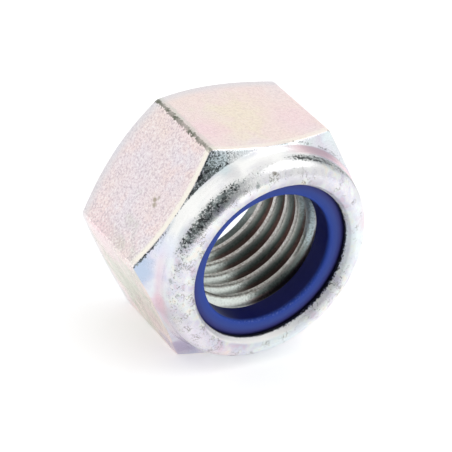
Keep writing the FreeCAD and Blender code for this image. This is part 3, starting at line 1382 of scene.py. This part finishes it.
    def collar_end(self, skin: RingSkin) -> None:
        """Draws the flats up to the front chamfer, the collar, the rolled lip and the ring's seat.

        Args:
            skin: the skin, which starts halfway up the flats.
        """
        outline = Outline(rounded_line(self.front, self.front_segments))
        cut, gap = self.front_edge_cut * MM, self.ring_gap * MM
        foot, past_foot, waist = (
            outline.length_at_radius(radius * MM)
            for radius in (self.foot_start, self.foot_end, self.waist_radius)
        )

        def corner(reach: float) -> tuple[float, float]:
            """The point at which the outline cuts a flat."""
            return outline.at_length(outline.length_at_radius(reach))

        def onward(reach: float) -> tuple[float, float]:
            """Finds which way the outline runs just past a flat.

            Args:
                reach: the hexagon's radius in the point's direction.

            Returns:
                The unit direction.
            """
            start = corner(reach)
            end = outline.at_length(outline.length_at_radius(reach) + cut)
            length = math.dist(start, end)
            return (end[0] - start[0]) / length, (end[1] - start[1]) / length

        def stations(reach: float) -> list[float]:
            """Finds how far along the outline its lower parts are.

            Args:
                reach: the hexagon's radius in the point's direction.

            Returns:
                Distances to the starts of the chamfer, the foot and the waist, and to the waist's end.
            """
            chamfer_start = outline.length_at_radius(reach) + cut
            foot_start = max(foot, chamfer_start + gap)
            return [chamfer_start, foot_start, max(past_foot, foot_start + gap), waist]

        self.flats(skin, lambda reach: corner(reach)[1] - cut)
        self.round_edge(skin, cut, corner, lambda reach: (0.0, -1.0), onward)
        rings = (self.chamfer_and_foot_rings, self.chamfer_and_foot_rings, self.waist_rings)
        for part, shares in enumerate(rings):
            for share in shares:
                def place(reach: float, part: int = part, share: float = share) -> tuple[float, float]:
                    """A point of the chamfer, foot or waist."""
                    start, end = stations(reach)[part:part + 2]
                    return outline.at_length(start + (end - start) * share)

                skin.extend(place)
        for point, length in zip(outline.points, outline.lengths):
            if length > waist + gap:
                skin.extend(lambda reach, point=point: (point.x, point.z))

    def thread(self, body: bmesh.types.BMesh) -> None:
        """Screws the thread's profile through one turn, trims it to the two chamfers and to both ends.

        Args:
            body: the mesh that it is drawn in.
        """
        known = set(body.faces)
        half_root, half_mouth = self.pitch * self.root_share / 2, self.pitch * (1 - self.crest_share) / 2
        corners = []
        # The profile starts two pitches too low, because the sheet climbs one as it goes round
        for turn in range(-2, math.ceil(self.seat_height / self.pitch)):
            middle = turn * self.pitch
            corners += [
                Corner(THREAD_ROOT, middle + half_root, self.root_cut),
                Corner(THREAD_CREST, middle + half_mouth, self.crest_cut),
                Corner(THREAD_CREST, middle + self.pitch - half_mouth, self.crest_cut),
                Corner(THREAD_ROOT, middle + self.pitch - half_root, self.root_cut),
            ]
        sheet = bmesh.new()
        points = [sheet.verts.new(point) for point in rounded_line(corners, segments=2)]
        for start, end in zip(points, points[1:]):
            sheet.edges.new((start, end))
        flanks = [edge for edge in sheet.edges if edge.calc_length() > self.flank_length * MM]
        bmesh.ops.subdivide_edges(sheet, edges=flanks, cuts=self.flank_cuts)
        bmesh.ops.spin(
            sheet, geom=sheet.verts[:] + sheet.edges[:], cent=(0, 0, 0), axis=(0, 0, 1),
            dvec=(0, 0, self.pitch * MM / self.thread_columns), angle=FULL_TURN,
            steps=self.thread_columns, use_merge=False, use_duplicate=False,
        )
        bmesh.ops.remove_doubles(sheet, verts=sheet.verts, dist=MERGE_DISTANCE)
        for vert in sheet.verts:
            radius = vert.co.xy.length
            mouth = MOUTH_RADIUS * MM - vert.co.z
            seat = self.seat_chamfer_radius * MM - (self.seat_height * MM - vert.co.z)
            vert.co.xy *= max(radius, mouth, seat) / radius
        for height, normal in ((0.0, -1), (self.seat_height * MM, 1)):
            bmesh.ops.bisect_plane(
                sheet, geom=sheet.verts[:] + sheet.edges[:] + sheet.faces[:], dist=MERGE_DISTANCE,
                plane_co=(0, 0, height), plane_no=(0, 0, normal), clear_outer=True,
            )
        scratch = bpy.data.meshes.new("thread_sheet")
        sheet.to_mesh(scratch)
        sheet.free()
        body.from_mesh(scratch)
        bpy.data.meshes.remove(scratch)
        for face in body.faces:
            if face not in known:
                face.material_index = SteelSlot.THREAD.value

    def close(self, body: bmesh.types.BMesh) -> None:
        """Joins the thread to the bearing face and to the floor of the seat.

        Args:
            body: the mesh with the outside and the thread.
        """
        open_edges = [edge for edge in body.edges if edge.is_boundary]
        for height in (0.0, self.seat_height * MM):
            rims = [
                edge for edge in open_edges
                if all(abs(vert.co.z - height) < self.rim_tolerance * MM for vert in edge.verts)
            ]
            bmesh.ops.bridge_loops(body, edges=rims)

    def unevenness(self, body: bmesh.types.BMesh) -> None:
        """Sinks the collar and the lip here and there by a few hundredths, as rolling leaves them.

        Args:
            body: the closed mesh, still upright.
        """
        body.normal_update()
        start = self.uneven_height * MM
        for vert in body.verts:
            height, radius = vert.co.z, vert.co.xy.length
            if height < start or radius < self.uneven_radius * MM:
                continue
            rise = min((height - start) / (self.uneven_growth * MM), 1.0)
            wave = noise.noise(vert.co * self.waves_per_metre) * 0.5 + 0.5
            vert.co -= vert.normal * wave * rise * self.wave_depth * MM


@dataclass
class NylonRing:
    """The locking ring: a moulded washer with a rounded bore edge, pressed a little hollow by the lip."""

    columns: int = 160
    segments: int = 5
    section: list[Corner] = field(default_factory=lambda: [
        Corner(11.7, 15.25, 0.1),
        Corner(9.08, 15.25, 0.1),
        Corner(9.08, 18.53, 0.42),
        Corner(10.3, 18.54, 0.4),
        Corner(11.0, 18.48, 0.2),
        Corner(11.7, 18.40, 0.1),
    ])

    def build(self) -> bpy.types.Object:
        """Turns the ring's section into the moulded washer.

        Returns:
            The finished object.
        """
        ring = bmesh.new()
        points = [ring.verts.new(point) for point in rounded_line(self.section, self.segments)]
        for start, end in zip(points, points[1:] + points[:1]):
            ring.edges.new((start, end))
        bmesh.ops.spin(
            ring, geom=ring.verts[:] + ring.edges[:], cent=(0, 0, 0), axis=(0, 0, 1),
            angle=FULL_TURN, steps=self.columns, use_merge=True, use_duplicate=False,
        )
        bmesh.ops.recalc_face_normals(ring, faces=ring.faces)
        bmesh.ops.rotate(ring, cent=(0, 0, 0), matrix=LAY_ON_FLAT, verts=ring.verts)
        return finished_object(ring, "locking_ring", [MouldedNylon().build()])


def finished_object(
    source: bmesh.types.BMesh, name: str, materials: list[bpy.types.Material]
) -> bpy.types.Object:
    """Turns a drawn mesh into an object that is shaded smooth between its sharp edges.

    Args:
        source: the drawn mesh, which is freed.
        name: the piece's name.
        materials: the piece's finishes, in the order of its faces' material numbers.

    Returns:
        The object, which sits at the origin with its place in its mesh.
    """
    mesh = bpy.data.meshes.new(name)
    for face in source.faces:
        face.smooth = True
    source.to_mesh(mesh)
    source.free()
    for material in materials:
        mesh.materials.append(material)
    mesh.set_sharp_from_angle(angle=SHARP_ANGLE)
    piece = bpy.data.objects.new(name, mesh)
    bpy.context.scene.collection.objects.link(piece)
    weights = piece.modifiers.new("weighted_normals", "WEIGHTED_NORMAL")
    weights.keep_sharp = True
    return piece


@dataclass(frozen=True)
class Shade:
    """A soft dark side of the room: its direction, the angles where it is full and gone, and its colour."""

    azimuth: float
    elevation: float
    core: float
    edge: float
    hex_code: str


@dataclass
class Studio:
    """The room round the nut: a pale floor, a white room with soft grey parts, a lamp and the camera."""

    camera_place: tuple[float, float, float] = (-142.04, -203.64, 142.39)
    azimuth: float = -36.06
    elevation: float = 30.73
    roll: float = 9.66
    lens: float = 176.16
    sensor: float = 36.0
    clip: tuple[float, float] = (10 * MM, 10000 * MM)
    floor_height: float = -15.02
    floor_size: float = 3000.0
    floor_colour: str = "F0F0F0"
    floor_glow: float = 0.35
    room_colour: str = "FFFFFF"
    lamp_direction: tuple[float, float] = (60, 55)
    lamp_distance: float = 700 * MM
    lamp_size: float = 500 * MM
    lamp_power: float = 0.6
    shades: tuple[Shade, ...] = (
        Shade(-22, 14, 18, 36, "7F8286"),
        Shade(-30, 50, 8, 28, "A6A8AC"),
        Shade(-60, 2, 6, 22, "A0A2A6"),
        Shade(103, 18, 8, 22, "CFD2D6"),
    )

    def build(self) -> None:
        """Makes the camera, the floor, the room and the lamp."""
        self.camera()
        self.floor()
        self.room()
        self.lamp()

    @staticmethod
    def direction(azimuth: float, elevation: float) -> Vector:
        """Turns an azimuth, 0 on the collar's side, and an elevation into a unit direction."""
        a, e = math.radians(azimuth), math.radians(elevation)
        return Vector((math.sin(a) * math.cos(e), -math.cos(a) * math.cos(e), math.sin(e)))

    def camera(self) -> None:
        """Puts the camera where the photograph was taken from."""
        data = bpy.data.cameras.new("camera")
        data.sensor_width = self.sensor
        data.lens = self.lens
        data.clip_start, data.clip_end = self.clip
        camera = bpy.data.objects.new("camera", data)
        level = self.direction(self.azimuth, self.elevation).to_track_quat("Z", "Y").to_matrix()
        rolled = level @ Matrix.Rotation(math.radians(self.roll), 3, "Z")
        camera.matrix_world = Matrix.Translation(Vector(self.camera_place) * MM) @ rolled.to_4x4()
        bpy.context.scene.collection.objects.link(camera)
        bpy.context.scene.camera = camera

    def floor(self) -> None:
        """Lays a wide pale floor, which is white to the camera and keeps the nut's soft shadow."""
        plane = bmesh.new()
        bmesh.ops.create_grid(
            plane, x_segments=1, y_segments=1, size=self.floor_size * MM / 2,
            matrix=Matrix.Translation((0, 0, self.floor_height * MM)),
        )
        mesh = bpy.data.meshes.new("floor")
        plane.to_mesh(mesh)
        plane.free()
        floor = bpy.data.objects.new("floor", mesh)
        material, tree = new_tree("floor_paper_white")
        rays = add_node(tree, "LightPath").node.outputs
        seen = rays["Is Camera Ray"]
        for ray in ("Is Glossy Ray", "Is Transmission Ray"):
            seen = add_node(tree, "Math", (seen, rays[ray]), operation="MAXIMUM")
        lift = where_all(tree, seen, self.floor_glow)
        paper = add_node(tree, "BsdfDiffuse", {"Color": linear_colour(self.floor_colour)})
        glow = add_node(tree, "Emission", {"Color": linear_colour(self.room_colour), "Strength": lift})
        both = add_node(tree, "AddShader", (paper, glow))
        add_node(tree, "OutputMaterial", {"Surface": both})
        mesh.materials.append(material)
        bpy.context.scene.collection.objects.link(floor)

    def room(self) -> None:
        """Paints the room: white all round, with a few soft grey parts that the metal mirrors."""
        world = bpy.data.worlds.new("studio_room")
        world.use_nodes = True
        tree = world.node_tree
        tree.nodes.clear()
        toward = add_node(tree, "TexCoord", (), "Generated")
        colour = linear_colour(self.room_colour)
        for shade in self.shades:
            middle = tuple(self.direction(shade.azimuth, shade.elevation))
            facing = add_node(tree, "VectorMath", (toward, middle), "Value", operation="DOT_PRODUCT")
            dimmed = add_node(tree, "ValToRGB", (facing,), stops=(
                (math.cos(math.radians(shade.edge)), self.room_colour),
                (math.cos(math.radians(shade.core)), shade.hex_code),
            ))
            inputs = {MIX_FACTOR: 1.0, MIX_BELOW: colour, MIX_ABOVE: dimmed}
            blend = {"data_type": "RGBA", "blend_type": "DARKEN"}
            colour = add_node(tree, "Mix", inputs, MIX_COLOUR, **blend)
        camera_ray = add_node(tree, "LightPath", (), "Is Camera Ray")
        seen = laid_over(tree, colour, self.room_colour, camera_ray)
        light = add_node(tree, "Background", {"Color": seen, "Strength": 1.0})
        add_node(tree, "OutputWorld", {"Surface": light})
        bpy.context.scene.world = world

    def lamp(self) -> None:
        """Hangs one soft lamp over the nut."""
        data = bpy.data.lights.new("soft_lamp", "AREA")
        data.shape = "DISK"
        data.size = self.lamp_size
        data.energy = self.lamp_power
        lamp = bpy.data.objects.new("soft_lamp", data)
        place = self.direction(*self.lamp_direction) * self.lamp_distance
        aim = place.to_track_quat("Z", "Y").to_matrix().to_4x4()
        lamp.matrix_world = Matrix.Translation(place) @ aim
        bpy.context.scene.collection.objects.link(lamp)


def main() -> None:
    """Builds the nut and its studio."""
    logging.basicConfig(level=logging.INFO, format="%(message)s")
    body = SteelBody().build()
    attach(body, "root")
    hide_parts("steel_body")
    log.info("steel body: %d faces", len(body.data.polygons))
    ring = NylonRing().build()
    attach(ring, "root")
    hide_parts("nylon_ring")
    log.info("nylon ring: %d faces", len(ring.data.polygons))
    Studio().build()
    bpy.context.scene.view_settings.view_transform = "Standard"
    log.info("boxes written")


if __name__ == "__main__":
    main()
